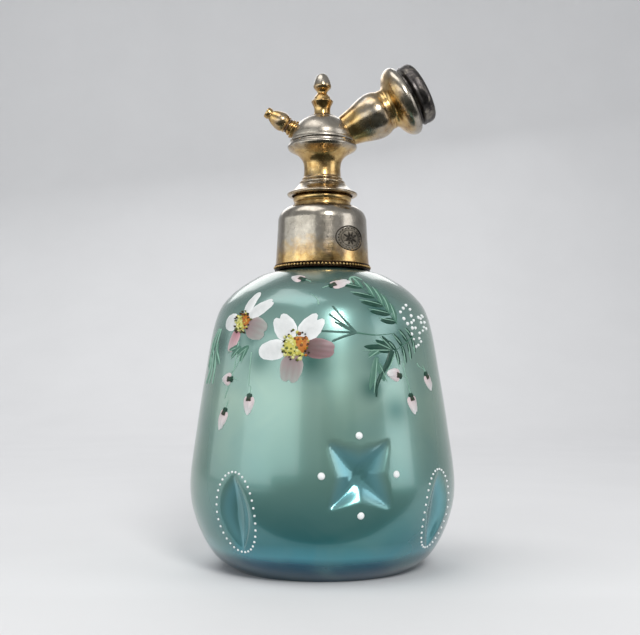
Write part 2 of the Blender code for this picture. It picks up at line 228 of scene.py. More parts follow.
# Materials ------------
class Shader:
    """A Principled material whose nodes are added by short calls."""

    def __init__(self, name):
        self.material = bpy.data.materials.new(name)
        self.material.use_nodes = True
        self.tree = self.material.node_tree
        self.surface = self.tree.nodes["Principled BSDF"]
        self.place = self.node("ShaderNodeTexCoord").outputs["Object"]

    def node(self, kind, inputs=None, **settings):
        """A node with these settings, and these inputs by name or number."""
        made = self.tree.nodes.new(kind)
        for key, value in settings.items():
            setattr(made, key, value)
        for key, value in (inputs or {}).items():
            self.put(value, made.inputs[key])
        return made

    def put(self, value, socket):
        if isinstance(value, bpy.types.NodeSocket):
            self.tree.links.new(value, socket)
        else:
            socket.default_value = value

    def set(self, **values):
        """Surface values by socket name, with _ for a space."""
        for key, value in values.items():
            self.put(value, self.surface.inputs[key.replace("_", " ")])

    def maths(self, operation, a, b=0.0, clamp=False):
        return self.node("ShaderNodeMath", {0: a, 1: b}, operation=operation, use_clamp=clamp).outputs[0]

    def noise(self, scale, detail=3.0, roughness=0.55, distortion=0.0, where=None):
        inputs = {"Vector": where or self.place, "Scale": scale, "Detail": detail}
        inputs |= {"Roughness": roughness, "Distortion": distortion}
        return self.node("ShaderNodeTexNoise", inputs).outputs["Fac"]

    def stretched(self, x, y, z):
        return self.node("ShaderNodeMapping", {"Vector": self.place, "Scale": (x, y, z)}).outputs[0]

    def spread(self, value, low, high, to_low=0.0, to_high=1.0):
        inputs = {"Value": value, "From Min": low, "From Max": high, "To Min": to_low, "To Max": to_high}
        return self.node("ShaderNodeMapRange", inputs).outputs["Result"]

    def height(self):
        """Height along the piece's own axis, in mm."""
        split = self.node("ShaderNodeSeparateXYZ", {0: self.place})
        return self.maths("MULTIPLY", split.outputs["Z"], 1 / MM)

    def mix(self, share, a, b):
        made = self.node("ShaderNodeMix", {"Factor": share}, data_type="RGBA")
        for value, key in ((a, "A"), (b, "B")):
            socket = next(s for s in made.inputs if s.name == key and s.type == "RGBA")
            self.put(value if isinstance(value, bpy.types.NodeSocket) else (*value, 1.0), socket)
        return next(s for s in made.outputs if s.type == "RGBA")

    def ramp(self, value, stops):
        """Grey or colour stops, as (position, grey or colour)."""
        made = self.node("ShaderNodeValToRGB", {"Fac": value})
        elements = made.color_ramp.elements
        while len(elements) < len(stops):
            elements.new(0.5)
        for element, (at, tone) in zip(elements, sorted(stops)):
            element.position = at
            colour = (tone,) * 3 if isinstance(tone, (int, float)) else tone
            element.color = (*colour, 1.0)
        return made.outputs["Color"]

    def bump(self, height, distance, strength=1.0, under=None):
        inputs = {"Height": height, "Distance": distance * MM, "Strength": strength}
        if under is not None:
            inputs["Normal"] = under
        return self.node("ShaderNodeBump", inputs).outputs["Normal"]

    def attribute(self, name, output="Fac"):
        return self.node("ShaderNodeAttribute", attribute_name=name).outputs[output]


GILT = (0.66, 0.46, 0.20)
GILT_DEEP = (0.34, 0.19, 0.06)
SILVER = (0.45, 0.41, 0.35)
SILVER_DULL = (0.25, 0.22, 0.18)
TARNISH = (0.065, 0.042, 0.028)


def worn_metal(name, bands, tarnish=0.3, rough=0.24, lines=0.5):
    """Silver plate worn through to gilt. bands is (height along the axis in mm, silvering)."""
    s = Shader(name)
    low, high = bands[0][0], bands[-1][0]
    along = s.spread(s.height(), low, high)
    silvering = s.ramp(along, [((z - low) / (high - low), share) for z, share in bands])
    patches = s.noise(240, 4, 0.6, 0.4)
    fine = s.noise(1500, 3)
    worn = s.maths("ADD", silvering, s.spread(patches, 0.25, 0.75, -0.26, 0.26))
    worn = s.maths("ADD", worn, s.spread(fine, 0.3, 0.7, -0.05, 0.05), clamp=True)
    gilt = s.mix(s.spread(s.noise(420, 3), 0.35, 0.7), GILT, GILT_DEEP)
    silver = s.mix(s.spread(s.noise(330, 4, 0.65), 0.35, 0.78, 0, 0.7), SILVER, SILVER_DULL)
    colour = s.mix(s.spread(worn, 0.20, 0.78), gilt, silver)
    specks = s.spread(s.noise(2600, 4, 0.7, 0.6), 0.60, 0.76, 0, tarnish)
    stains = s.spread(s.noise(170, 5, 0.7, 1.2), 0.50, 0.78, 0, tarnish)
    colour = s.mix(s.maths("MAXIMUM", specks, stains), colour, TARNISH)
    s.set(Base_Color=colour, Metallic=1)
    rubbed = s.spread(s.noise(520, 4), 0.3, 0.7, rough - 0.04, rough + 0.08)
    s.set(Roughness=s.maths("ADD", rubbed, s.spread(stains, 0, 1, 0, 0.30), clamp=True))
    turning = s.noise(1, 2, 0.6, where=s.stretched(60, 60, 4200))
    dings = s.noise(700, 2)
    pits = s.bump(s.noise(4200, 2), 0.010, 0.3, s.bump(dings, 0.04, 0.20))
    s.set(Normal=s.bump(turning, 0.014, lines, pits))
    return s.material


def bare_brass():
    s = Shader("bare_brass")
    colour = s.mix(s.spread(s.noise(500, 4), 0.35, 0.7), (0.70, 0.48, 0.20), (0.34, 0.20, 0.08))
    s.set(Base_Color=colour, Metallic=1, Roughness=s.spread(s.noise(900), 0.3, 0.7, 0.26, 0.44))
    s.set(Normal=s.bump(s.noise(1, 2, where=s.stretched(60, 60, 8000)), 0.012, 0.5))
    return s.material


def dark_metal(name, dark, rubbed):
    """Metal gone dark, with brighter metal where it has been rubbed."""
    s = Shader(name)
    bright = s.spread(s.noise(260, 4, 0.6, 0.5), 0.52, 0.74)
    darker, lighter = [0.6 * c for c in dark], [1.4 * c for c in dark]
    deep = s.mix(s.spread(s.noise(900, 4), 0.3, 0.7), darker, lighter)
    s.set(Base_Color=s.mix(bright, deep, rubbed), Metallic=1)
    s.set(Roughness=s.spread(s.noise(1100, 4), 0.3, 0.7, 0.30, 0.50))
    s.set(Normal=s.bump(s.noise(3000, 4, 0.7), 0.02, 0.5))
    return s.material


def grained(name, grain, dark, light, rough, relief):
    """A dull material whose colour and relief follow one grain."""
    s = Shader(name)
    grain = s.noise(*grain)
    s.set(Base_Color=s.mix(grain, dark, light), Roughness=rough, Normal=s.bump(grain, *relief))
    return s.material


def leather():
    dark, light = (0.05, 0.026, 0.014), (0.17, 0.09, 0.045)
    return grained("leather", (3500, 4, 0.6), dark, light, 0.75, (0.04, 0.7))


def plaster():
    return grained("plaster", (2200, 5, 0.7), (0.62, 0.58, 0.48), (0.84, 0.81, 0.74), 0.95, (0.05, 0.8))


def cork():
    s = Shader("cork")
    cells = s.node("ShaderNodeTexVoronoi", {"Vector": s.place, "Scale": 1400}).outputs["Distance"]
    s.set(Base_Color=s.mix(cells, (0.30, 0.17, 0.08), (0.60, 0.42, 0.24)))
    s.set(Roughness=0.9, Normal=s.bump(cells, 0.06, 0.8))
    return s.material


def rubber():
    s = Shader("rubber")
    bloom = s.spread(s.noise(700, 4), 0.35, 0.75)
    s.set(Base_Color=s.mix(bloom, (0.018, 0.017, 0.017), (0.07, 0.065, 0.06)), Roughness=0.7)
    s.set(Normal=s.bump(s.noise(3500), 0.02, 0.4))
    return s.material


def clear_glass():
    s = Shader("clear_glass")
    s.set(Base_Color=(0.86, 0.95, 0.93, 1), Transmission_Weight=0.9, IOR=1.5)
    s.set(Roughness=s.spread(s.noise(300), 0.3, 0.7, 0.03, 0.10))
    s.set(Normal=s.bump(s.noise(160, 2), 0.06, 0.3))
    return s.material


# Glass colours by share of the height GLASS_TOP in mm, bluer at the foot, with a painted highlight in the
# pale band just above it and painted shade darkening up to the neck; dimple colours by how deep a dimple is
GLASS_TOP = 90.0
GLASS_TONES_WITH_PAINTED_LIGHT = [
    (0.0, (0.002, 0.075, 0.125)),
    (0.060, (0.003, 0.085, 0.135)),
    (0.085, (0.070, 0.310, 0.370)),
    (0.125, (0.045, 0.210, 0.225)),
    (0.30, (0.155, 0.305, 0.265)),
    (0.55, (0.275, 0.430, 0.355)),
    (0.80, (0.235, 0.390, 0.340)),
    (0.93, (0.105, 0.200, 0.175)),
    (1.0, (0.030, 0.065, 0.060)),
]
# Dimple colours: painted blue reflection at a dimple's edge, deepening to painted shade at its crease
DIMPLE_REFLECTION_AND_SHADE = [(0.0, (0.26, 0.52, 0.56)), (0.4, (0.18, 0.43, 0.48)), (1.0, (0.10, 0.26, 0.26))]


def satin_glass():
    """Translucent sea-green glass with a satin lustre, bluer at its foot; painted highlight and shade by
    height, painted shadow behind the enamel, and painted blue reflection and shade in its clear dimples.
    """
    s = Shader("satin_glass")
    high = s.height()
    clouds = s.noise(38, 3, 0.5, 0.5)
    drift = s.maths("ADD", high, s.spread(clouds, 0.3, 0.7, -0.3, 0.3))
    # This ramp holds painted light: the pale band just above the foot is a painted highlight, the darkening
    # towards the neck is painted shade
    body = s.ramp(s.spread(drift, 0, GLASS_TOP), GLASS_TONES_WITH_PAINTED_LIGHT)
    drifts = s.spread(s.noise(60, 2, 0.5, 0.8), 0.42, 0.72, 0, 0.45)
    mottled_and_shadowed = s.mix(drifts, body, (0.150, 0.310, 0.285))
    # Painted shadow of the raised enamel, darkening the glass behind the flowers and leaves
    mottled_and_shadowed = s.mix(s.maths("MULTIPLY", s.attribute("enamel_shadow"), 0.85), mottled_and_shadowed, (0.025, 0.125, 0.095))
    polish = s.attribute("polish")
    # Painted reflection and painted shade in the clear dimples, darkest at each crease
    dimple_painted_light = s.ramp(polish, DIMPLE_REFLECTION_AND_SHADE)
    colour = s.mix(s.maths("MULTIPLY", polish, 1.6, clamp=True), mottled_and_shadowed, dimple_painted_light)
    s.set(Base_Color=colour, Transmission_Weight=0.25, IOR=1.50, Metallic=0.42)
    satin = s.spread(s.noise(90, 2, 0.5), 0.3, 0.7, 0.23, 0.27)
    s.set(Roughness=s.maths("SUBTRACT", satin, s.maths("MULTIPLY", polish, 0.17), clamp=True))
    s.set(Coat_Weight=0.55, Coat_Roughness=0.07, Coat_IOR=1.55)
    s.set(Thin_Film_Thickness=s.spread(s.noise(22, 2), 0.3, 0.7, 300, 380), Thin_Film_IOR=1.40)
    ripple = s.noise(1, 2, 0.5, where=s.stretched(14, 14, 300))
    s.set(Normal=s.bump(ripple, 0.03, 0.22))
    return s.material


def enamel(name, rough):
    """Fired enamel, its colour painted on as the paint attribute, with brush drag."""
    s = Shader(name)
    paint = s.attribute("paint", "Color")
    drag = s.noise(2200, 4, 0.65)
    thin = s.spread(s.noise(600, 3), 0.40, 0.75, 0, 0.30)
    dimmed = s.mix(thin, paint, s.mix(0.5, paint, (0.12, 0.20, 0.18)))
    s.set(Base_Color=dimmed, Roughness=s.spread(drag, 0.3, 0.7, rough - 0.10, rough + 0.12))
    s.set(Specular_IOR_Level=0.25, Coat_Weight=0.10, Coat_Roughness=0.2)
    s.set(Normal=s.bump(drag, 0.03, 0.5))
    return s.material


def floor_material():
    s = Shader("pale_floor")
    s.set(Base_Color=s.mix(s.noise(14, 4), (0.70, 0.70, 0.71), (0.76, 0.76, 0.77)), Roughness=0.85)
    s.set(Normal=s.bump(s.noise(900, 4), 0.05, 0.2))
    return s.material


# Glass ------------
BODY_POINTS = [
    (26.5, 0), (32.6, 4.6), (37.6, 14), (WIDEST_R, WIDEST_Z), (37.8, 40),
    (35.3, 56.5), (32.2, 73), (27.8, 80.4), (19.6, 86.2), (13.2, SHOULDER_Z),
]
BODY_OUTLINE = smooth(BODY_POINTS, 18)
DIMPLED_R = 27  # the dimpled wall lies outside this radius
DIMPLED_LOW, DIMPLED_HIGH = 4, 46
DIMPLE_SPAN = 24  # no dimple reaches further than this from its centre: degrees round, and mm up
DIMPLE_REACH = 14


def star_dent(across, up):
    """Depth share of a pinched star: four creases running out along the diagonals."""
    depth = 0.0
    for k in range(4):
        turn = math.radians(45.0 + 90.0 * k)
        along = across * math.cos(turn) + up * math.sin(turn)
        beside = abs(-across * math.sin(turn) + up * math.cos(turn))
        if not -2.0 < along < STAR_REACH:
            continue
        left = 1.0 - max(along, 0.0) / STAR_REACH
        half = 0.3 + 8.4 * left**0.95
        if beside < half:
            fold = 1.0 - beside / half
            fold = 0.35 * fold + 0.65 * fold * fold * (3.0 - 2.0 * fold)
            depth = max(depth, fold * left**0.5)
    return depth


def oval_dent(across, up):
    """Depth share of a pinched oval: a long scoop, pointed at both ends."""
    tall = abs(up) / OVAL_HALF_HEIGHT
    if tall >= 1.0:
        return 0.0
    half = OVAL_HALF_WIDTH * (1.0 - tall**1.8)
    side = min(1.0, abs(across) / half)
    return (1.0 - side * side) ** 1.6 * (1.0 - tall**2.2)


def dents(angle, height):
    """Depth in mm that the dimples push the wall in, and how polished the glass is there."""
    depth, polish = 0.0, 0.0
    for places, shape, deep in ((STARS, star_dent, STAR_DEPTH), (OVALS, oval_dent, OVAL_DEPTH)):
        for centre, level in places:
            turn = (angle - centre + 180.0) % 360.0 - 180.0
            if abs(turn) > DIMPLE_SPAN or abs(height - level) > DIMPLE_REACH:
                continue
            share = shape(math.radians(turn) * WIDEST_R, height - level)
            depth = max(depth, deep * share)
            polish = max(polish, share)
    return depth, polish


# Painted shadow of the raised enamel, soft dark spots on the glass behind the sprays: (degrees round,
# height in mm, radius in mm)
ENAMEL_SHADOW_SPOTS = [
    (-35, 67.5, 3.4),
    (-46, 66, 3.2),
    (-30, 61, 4.2),
    (-5, 60.5, 4.2),
    (1, 64, 2.6),
    (29, 75.5, 4.4),
    (38, 66.5, 4.6),
    (28, 60, 4.2),
    (22, 53, 3.2),
    (33, 47, 4.4),
    (-62, 66, 4.2),
]


def glass_outline():
    """The whole wall: under the foot, up the outside, over the lip and down the inside."""
    floor = [(0, 1.5), (14, 1.1), (22, 0.35), (23.5, 0), (25, 0)]
    neck = arc(NECK_R + 1.4, SHOULDER_Z + 1.5, 1.4, 270, 180, 6)
    lip = arc(NECK_R - 0.8, LIP_Z - 0.8, 0.8, 0, 90, 6)
    inside = [
        (NECK_BORE_R, 88), (12, 85.6), (18.6, 83.4), (25.5, 78.6), (29.5, 72), (32.6, 56.5),
        (35.1, 40), (WIDEST_R - GLASS_WALL, WIDEST_Z), (34.6, 13.6), (28, 5.6), (20, 4.4),
    ]
    bore = [(NECK_BORE_R, LIP_Z), *smooth(inside, 9), (0, 4.8)]
    return [*floor, *BODY_OUTLINE, *neck[1:], *lip, *bore]


def pushed_in(angle, r, z):
    """The wall's radius with its dimples."""
    if r < DIMPLED_R or not DIMPLED_LOW < z < DIMPLED_HIGH:
        return r
    return r - dents(angle, z)[0]


def enamel_shadow_strength(angle, height):
    """Strength of the painted shadow, soft dark green on the glass behind the flowers and leaves."""
    strength = 0.0
    for centre, level, radius in ENAMEL_SHADOW_SPOTS:
        away = math.hypot(math.radians(angle - centre) * WIDEST_R * 0.85, height - level) / radius
        strength = max(strength, math.exp(-away * away))
    return strength


def make_bottle():
    mesh = turned_mesh("bottle_glass", glass_outline(), GLASS_TURNED, pushed_in)
    polished, shaded = [], []
    for vertex in mesh.vertices:
        x, y, z = vertex.co / MM
        angle = math.degrees(math.atan2(x, -y))
        polished.append(dents(angle, z)[1] if math.hypot(x, y) >= DIMPLED_R - 1.0 else 0.0)
        # Painted shadow of the enamel, kept on each vertex
        shaded.append(enamel_shadow_strength(angle, z))
    for name, values in (("polish", polished), ("enamel_shadow", shaded)):
        mesh.attributes.new(name, "FLOAT", "POINT").data.foreach_set("value", values)
    glass = satin_glass()
    finish_piece("bottle_glass", mesh, glass, "bottle", replaces=["bottle"], slot="satin_glass", sharp=60.0)


# Turned surfaces that carry relief ------------
class Turned:
    """The outside of a turned shape, on which a point is (angle, height) plus mm east and north."""

    def __init__(self, outline, dented=False):
        self.r = np.array([p[0] for p in outline])
        self.z = np.array([p[1] for p in outline])
        steps = np.hypot(np.diff(self.r), np.diff(self.z))
        self.run = np.concatenate([[0.0], np.cumsum(steps)])
        self.dented = dented

    def along(self, run):
        """Radius and height that many mm along the outline."""
        return float(np.interp(run, self.run, self.r)), float(np.interp(run, self.run, self.z))

    def at(self, angle, height, east=0.0, north=0.0, lift=0.0):
        """The point that far over the surface, in metres."""
        run = float(np.interp(height, self.z, self.run)) + north
        r, z = self.along(run)
        turn = math.radians(angle) + east / max(r, 1.0)
        (r_behind, z_behind), (r_ahead, z_ahead) = self.along(run - 0.4), self.along(run + 0.4)
        dr, dz = r_ahead - r_behind, z_ahead - z_behind
        size = math.hypot(dr, dz) or 1.0
        if self.dented:
            r -= dents(math.degrees(turn), z)[0]
        r, z = r + lift * dz / size, z - lift * dr / size
        return Vector((r * math.sin(turn), -r * math.cos(turn), z)) * MM


class Relief:
    """Raised shapes gathered into one mesh, each a closed body sunk a little into its surface."""

    def __init__(self, surface, sunk=-0.12):
        self.surface = surface
        self.sunk = sunk
        self.verts, self.faces, self.paint = [], [], []

    def grid(self, place, rows, columns, point, colour):
        """A domed patch: point(t, s) gives east, north and lift for t in 0..1 and s in -1..1."""
        angle, height = place
        size = (rows + 1) * (columns + 1)
        start = len(self.verts)
        for under in (False, True):
            for i in range(rows + 1):
                for j in range(columns + 1):
                    t, s = i / rows, 2 * j / columns - 1
                    east, north, lift = point(t, s)
                    lift = self.sunk if under else lift
                    self.verts.append(self.surface.at(angle, height, east, north, lift))
                    self.paint.append(colour(t, s))

        def corner(i, j, layer=0):
            return start + layer * size + i * (columns + 1) + j

        for i in range(rows):
            for j in range(columns):
                quad = [corner(i, j), corner(i, j + 1), corner(i + 1, j + 1), corner(i + 1, j)]
                self.faces.append(quad)
                self.faces.append([v + size for v in reversed(quad)])
        border = [(0, j) for j in range(columns)] + [(i, columns) for i in range(rows)]
        border += [(rows, j) for j in range(columns, 0, -1)] + [(i, 0) for i in range(rows, 0, -1)]
        for a, b in zip(border, [*border[1:], border[0]]):
            self.faces.append([corner(*b), corner(*a), corner(*a, 1), corner(*b, 1)])

    def petal(
        self, place, heading, reach, length, width, lift, inner, outer, tip=0.55, notch=None, at=(0, 0)
    ):
        """A petal pointing along heading, in degrees from east, from reach mm out of at.

        It ends in a point, or, where notch is given, round with a nick that deep.
        """
        turn = math.radians(heading)

        def point(t, s):
            if notch is None:
                swell = math.sin(math.pi * min(1.0, t * 0.94 + 0.05) ** tip) ** 0.62
                end = 1.0
            else:
                swell = 0.22 + 0.78 * math.sin(0.5 * math.pi * min(1.0, t / 0.68)) ** 1.3
                blunt = 0.40 * (1 - math.sqrt(max(0.0, 1 - s * s)))
                end = 1.0 - (blunt + notch * math.exp(-((s / 0.22) ** 2)))
            along = reach + length * t * end
            side = s * width * 0.5 * max(swell, 0.04)
            rise = lift * max(0.0, 1 - s * s) ** 0.5 * (0.25 + 0.75 * math.sin(math.pi * min(t, 0.97)))
            rise += 0.05 * lift * math.sin(9.0 * s + 4.0 * t)
            east = along * math.cos(turn) - side * math.sin(turn)
            north = along * math.sin(turn) + side * math.cos(turn)
            return at[0] + east, at[1] + north, max(rise, 0.02)

        def colour(t, s):
            streak = 0.16 * math.sin(13.0 * s + 2.0 * t) * t
            share = min(1.0, max(0.0, t**1.1 + streak))
            rim = 1.0 + 0.35 * max(0.0, abs(s) - 0.7) - 0.12 * (1 - abs(s)) * math.sin(math.pi * t)
            return [(a + (b - a) * share) * rim for a, b in zip(inner, outer)]

        self.grid(place, 12, 8, point, colour)

    def dot(self, place, radius, lift, colour, east=0.0, north=0.0, stretch=1.0):
        """A round bead of enamel, or one that is stretched sideways."""

        def point(t, s):
            around = 2 * t - 1
            x = around * math.sqrt(1 - s * s / 2)
            y = s * math.sqrt(1 - around * around / 2)
            far = min(1.0, math.hypot(x, y))
            rise = lift * math.sqrt(max(0.0, 1 - far * far))
            return east + x * radius * stretch, north + y * radius, rise

        self.grid(place, 6, 6, point, lambda t, s: colour)

    def stroke(self, place, points, width, lift, colour, taper=True):
        """A painted line through points of (east, north) in mm."""
        path = smooth(points, 6)

        def point(t, s):
            at = t * (len(path) - 1)
            i = min(int(at), len(path) - 2)
            (x0, y0), (x1, y1) = path[i], path[i + 1]
            size = math.hypot(x1 - x0, y1 - y0) or 1.0
            nx, ny = -(y1 - y0) / size, (x1 - x0) / size
            share = at - i
            half = width * 0.5 * ((1 - 0.75 * t) if taper else 1.0)
            x, y = x0 + (x1 - x0) * share, y0 + (y1 - y0) * share
            return x + nx * s * half, y + ny * s * half, lift * (1 - s * s) ** 0.5

        self.grid(place, 6 * (len(points) - 1) + 2, 4, point, lambda t, s: colour)

    def make(self, name, material, body, **more):
        mesh = bpy.data.meshes.new(name)
        mesh.from_pydata(self.verts, [], self.faces)
        paint = mesh.color_attributes.new("paint", "FLOAT_COLOR", "POINT")
        paint.data.foreach_set("color", [c for tone in self.paint for c in (*tone, 1.0)])
        return finish_piece(name, outward(mesh), material, body, sharp=55.0, **more)


# Enamel ------------
WHITE = (0.66, 0.67, 0.67)
PEARL = (0.80, 0.82, 0.82)
ROSE = (0.40, 0.13, 0.17)
MAUVE = (0.25, 0.155, 0.165)
DUSK = (0.095, 0.045, 0.040)
ASH = (0.30, 0.31, 0.29)
PALE_PINK = (0.54, 0.43, 0.44)
YELLOW = (0.50, 0.46, 0.09)
LEMON = (0.60, 0.59, 0.24)
ORANGE = (0.46, 0.15, 0.015)
RUST = (0.20, 0.06, 0.010)
BROWN = (0.040, 0.024, 0.008)
OLIVE = (0.12, 0.14, 0.02)
LEAF = (0.004, 0.045, 0.028)
FADED = (0.065, 0.165, 0.120)
LEAF_PALE = (0.24, 0.42, 0.33)
TWIG = (0.055, 0.125, 0.105)

# Petals: heading in degrees from east, length, width, nick, colour at the root, colour at the tip
FIRST_FLOWER = [
    (76, 8.6, 3.4, 0, WHITE, WHITE),
    (34, 9.8, 4, 0.08, WHITE, WHITE),
    (178, 6.8, 5.2, 0, WHITE, WHITE),
    (-20, 8.4, 6.4, 0.10, MAUVE, ASH),
    (-116, 8, 3.8, 0, ROSE, PALE_PINK),
]
SECOND_FLOWER = [
    (122, 9, 6.2, 0.14, WHITE, WHITE),
    (52, 9.6, 6, 0.20, WHITE, WHITE),
    (189, 9.6, 5.6, 0, WHITE, WHITE),
    (-6, 9.6, 5.6, 0.05, DUSK, MAUVE),
    (-99, 9, 6.4, 0.12, MAUVE, ASH),
]

# Buds: (degrees round, height in mm), heading, length
BUDS = [
    ((-14, 83.6), 155, 4),
    ((6, 81.6), 22, 6.2),
    ((-46.5, 55.5), 178, 4),
    ((-47.5, 46.5), 252, 5.6),
    ((-33.5, 50.5), 268, 5),
    ((36.5, 56.5), 168, 4.4),
    ((42.5, 50.5), 280, 5),
    ((56.5, 56.5), 292, 4.8),
]
# Stalks: the foot as (degrees round, height in mm), and the end in mm east and north of it
STALKS = [
    ((-44, 66), (-3, -16)),
    ((-35, 63), (0.4, -9.5)),
    ((-42, 62), (-3, -5)),
    ((50, 60), (4, -2)),
    ((40, 60), (1.5, -7)),
    ((-2, 76), (-2.2, 3.6)),
]
BERRIES = [(49, 73.7), (63, 72), (52.5, 67.3)]
STAR_DOTS_REACH = 10.6
OVAL_DOTS = 34
OVAL_MARGIN = 0.9  # from an oval's edge out to its ring of dots


def polar(far, turn):
    return far * math.cos(turn), far * math.sin(turn)


def flower(relief, place, petals, size, rng):
    """Five petals round a stippled heart, yellow to one side and rust to the other."""
    for heading, length, width, nick, inner, outer in petals:
        relief.petal(place, heading, 1.4, length, width, 0.34, inner, outer, notch=nick)
    relief.dot(place, 2.6 * size, 0.48, YELLOW, -0.6 * size, -0.2 * size)
    relief.dot(place, 2.1 * size, 0.54, ORANGE, 1.4 * size, 0.5 * size)
    for _ in range(60):
        turn = rng.uniform(0, 2 * math.pi)
        east, north = polar(3.3 * size * math.sqrt(rng.random()), turn)
        rusty = east + 0.5 * north > 0.4 * size
        tone = rng.choice((ORANGE, RUST, RUST, YELLOW) if rusty else (YELLOW, LEMON, LEMON, OLIVE))
        relief.dot(place, rng.uniform(0.28, 0.55) * size, rng.uniform(0.58, 0.76), tone, east, north)
    for k in range(20):
        turn = 2 * math.pi * k / 20 + rng.uniform(-0.2, 0.2)
        spot = polar(rng.uniform(2.5, 3.9) * size, turn)
        relief.dot(place, rng.uniform(0.24, 0.38), 0.80, BROWN if k % 5 else OLIVE, *spot)


def bud(relief, leaves, place, heading, length):
    """A fat closed bud, pink at its root, in three dark sepals on a fine stalk."""
    relief.petal(place, heading, -0.2, length, 3.7, 0.60, PALE_PINK, WHITE)
    relief.petal(place, heading + 12, 0.3, length * 0.8, 1.5, 0.75, PALE_PINK, WHITE)
    for side in (-32, 4, 34):
        leaves.petal(place, heading + side, -1.2, 2.9, 1.15, 0.72, LEAF, BROWN, 0.8)
    east, north = polar(-3.2, math.radians(heading))
    leaves.stroke(place, [(0, 0), (east * 0.5, north * 0.5 + 0.3), (east, north)], 0.42, 0.16, LEAF_PALE)


def leaflet(leaves, place, at, heading, length, width, tone, edging=8):
    """A painted leaf, from some mm east and north of place, with a fine pale line down its edge."""
    leaves.petal(place, heading, 0, length, width, 0.26, tone, tone, 0.75, at=at)
    pale = LEAF_PALE, LEAF_PALE
    leaves.petal(place, heading + edging, 0.2, length * 1.04, 0.42, 0.34, *pale, 0.75, at=at)


def fern(leaves, place, points, leaflets, reach, width, sides):
    """A curved stem with leaflets down both sides.

    sides gives each side's angle off the stem, its colour and its share of the reach.
    """
    leaves.stroke(place, points, 0.5, 0.18, FADED)
    path = smooth(points, 12)
    for k in range(leaflets):
        share = (k + 0.5) / leaflets
        i = int(share * (len(path) - 2))
        root, ahead = path[i], path[i + 1]
        heading = math.degrees(math.atan2(ahead[1] - root[1], ahead[0] - root[0]))
        swell = 0.70 + 0.30 * math.sin(math.pi * share)
        for side, tone, part in sides:
            edging = 7 if side < 0 else -7
            leaflet(leaves, place, root, heading + side, reach * part * swell, width, tone, edging)


def paint_right_spray(leaves):
    """The ferns, the thick stem and the loose leaves to the right of the flowers."""
    upper = [(0, 0), (-2.6, 3.6), (-5.4, 8.2), (-8.6, 14)]
    fern(leaves, (39.5, 71), upper, 5, 6.6, 1.9, ((52, LEAF, 1), (-40, FADED, 1)))
    hook = [(-2.4, -2), (-1.8, 1), (0.2, 1.8), (1.6, 0.2)]
    leaves.stroke((24, 83.5), hook, 0.8, 0.25, LEAF_PALE)
    lower = [(0, 0), (-4.4, -2.2), (-9, -4.6)]
    fern(leaves, (49.5, 67.4), lower, 4, 4.6, 1.3, ((-82, LEAF, 0.9), (74, LEAF, 1.1)))
    for heading, length, width in ((174, 9, 2.3), (152, 6, 1.9), (128, 5, 1.7)):
        leaflet(leaves, (34.5, 63.5), (0, 0), heading, length, width, LEAF, 7)
    stem = [(0, 0.4), (-1.8, -3), (-4.4, -6.4), (-6, -9.4), (-6.5, -12.4)]
    leaves.stroke((34, 63), stem, 1.9, 0.32, LEAF)
    leaves.stroke((34, 63), [(0.9, -0.6), (-0.9, -3.4), (-3.5, -6.9)], 0.4, 0.36, LEAF_PALE)
    loose = ((0, 0), 252, 9.5), ((1.6, 2.5), 205, 4.6), ((0.4, -1.6), 285, 5.2)
    for at, heading, length in loose:
        leaflet(leaves, (25.5, 61.5), at, heading, length, 2, FADED)


def paint_left_spray(leaves):
    """The pale leaves that hang to the left of the flowers."""
    for east in (0, 1.6, 3.2):
        hanging = [(0, 0), (-1 - east, -5), (-0.6 * east, -11), (-1.2 * east, -16)]
        leaves.stroke((-62 - east, 70), hanging, 0.55, 0.24, LEAF_PALE)
    for east, heading in ((0, 228), (-2, 250), (2, 262), (0.5, 300)):
        leaflet(leaves, (-66, 66), (east, 0), heading, 7.5, 1.9, FADED)
    for east, heading in ((0, 215), (2.5, 240), (3, 205), (-1, 190)):
        leaflet(leaves, (-42, 65), (east, -0.5), heading, 4.6, 1.7, FADED)


def paint_twigs(leaves):
    """The forked twig between flower and fern, and the fine stalks of the buds."""
    fork = (16, 68.2)
    for end in ((-9.6, 0.4), (-6.8, -2.4), (-7.2, 5.2), (-5.8, 3), (-6, 7.6)):
        middle = (end[0] * 0.55, end[1] * 0.5)
        leaves.stroke(fork, [(0, 0), middle, end], 0.62, 0.16, TWIG, taper=False)
    leaves.stroke(fork, [(0, 0), (6, -0.6), (13, 0.2)], 0.5, 0.16, FADED)
    for start, end in STALKS:
        leaves.stroke(start, [(0, 0), (end[0] * 0.2, end[1] * 0.5), end], 0.42, 0.14, LEAF_PALE)


def paint_dots(dots, rng):
    """Three clusters of berries, four dots round each star and a ring of dots round each oval."""
    for place in BERRIES:
        for k in range(9):
            turn = math.radians(40 * k + rng.uniform(-14, 14))
            spot = polar(rng.uniform(1.2, 3.2), turn)
            dots.dot(place, rng.uniform(0.38, 0.58), 0.45, PEARL, *spot)
    for place in STARS:
        for angle in (90, 0, 270, 180):
            dots.dot(place, 1, 0.60, PEARL, *polar(STAR_DOTS_REACH, math.radians(angle)))
    for place in OVALS:
        for k in range(OVAL_DOTS):
            turn = 2 * math.pi * k / OVAL_DOTS
            east = (OVAL_HALF_WIDTH + OVAL_MARGIN) * math.cos(turn)
            north = (OVAL_HALF_HEIGHT + OVAL_MARGIN) * math.sin(turn)
            dots.dot(place, 0.34, 0.34, PEARL, east, north)


